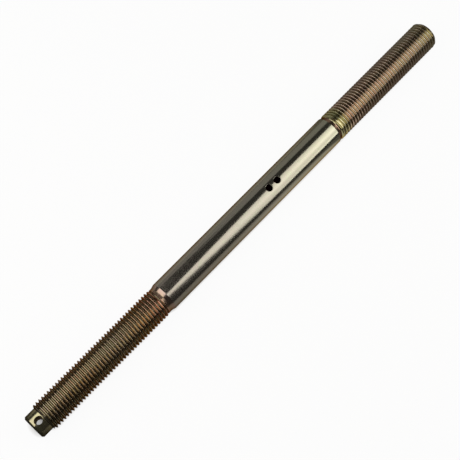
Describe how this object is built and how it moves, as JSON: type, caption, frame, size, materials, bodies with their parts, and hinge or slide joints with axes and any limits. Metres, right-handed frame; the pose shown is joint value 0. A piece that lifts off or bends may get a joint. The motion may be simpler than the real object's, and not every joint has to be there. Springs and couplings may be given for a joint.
{
  "type": "lift rod spindle",
  "caption": "Round steel spindle for a tractor lift rod, with a left-hand and a right-hand thread, a drilled locking stub and a cross-drilled plain shank.",
  "frame": {"origin": "on the bar's axis, half way along its length", "axes": "+X along the bar from the drilled stub at the lower end to the chamfered upper end, +Z along the axis of the cross holes"},
  "size_m": [0.582, 0.0318, 0.0318],
  "materials": {
    "plated_steel": "yellow chromated zinc on turned steel",
    "plated_thread": "yellow chromated zinc on a rolled thread, with copper and olive tints",
    "plated_shank": "yellow chromated zinc on bright drawn bar, semi-gloss"
  },
  "bodies": {
    "root": {"locking_stub": "plated_steel", "lower_thread": "plated_thread", "lower_neck": "plated_steel", "shank": "plated_shank", "upper_neck": "plated_steel", "upper_thread": "plated_thread"}
  },
  "joints": []
}
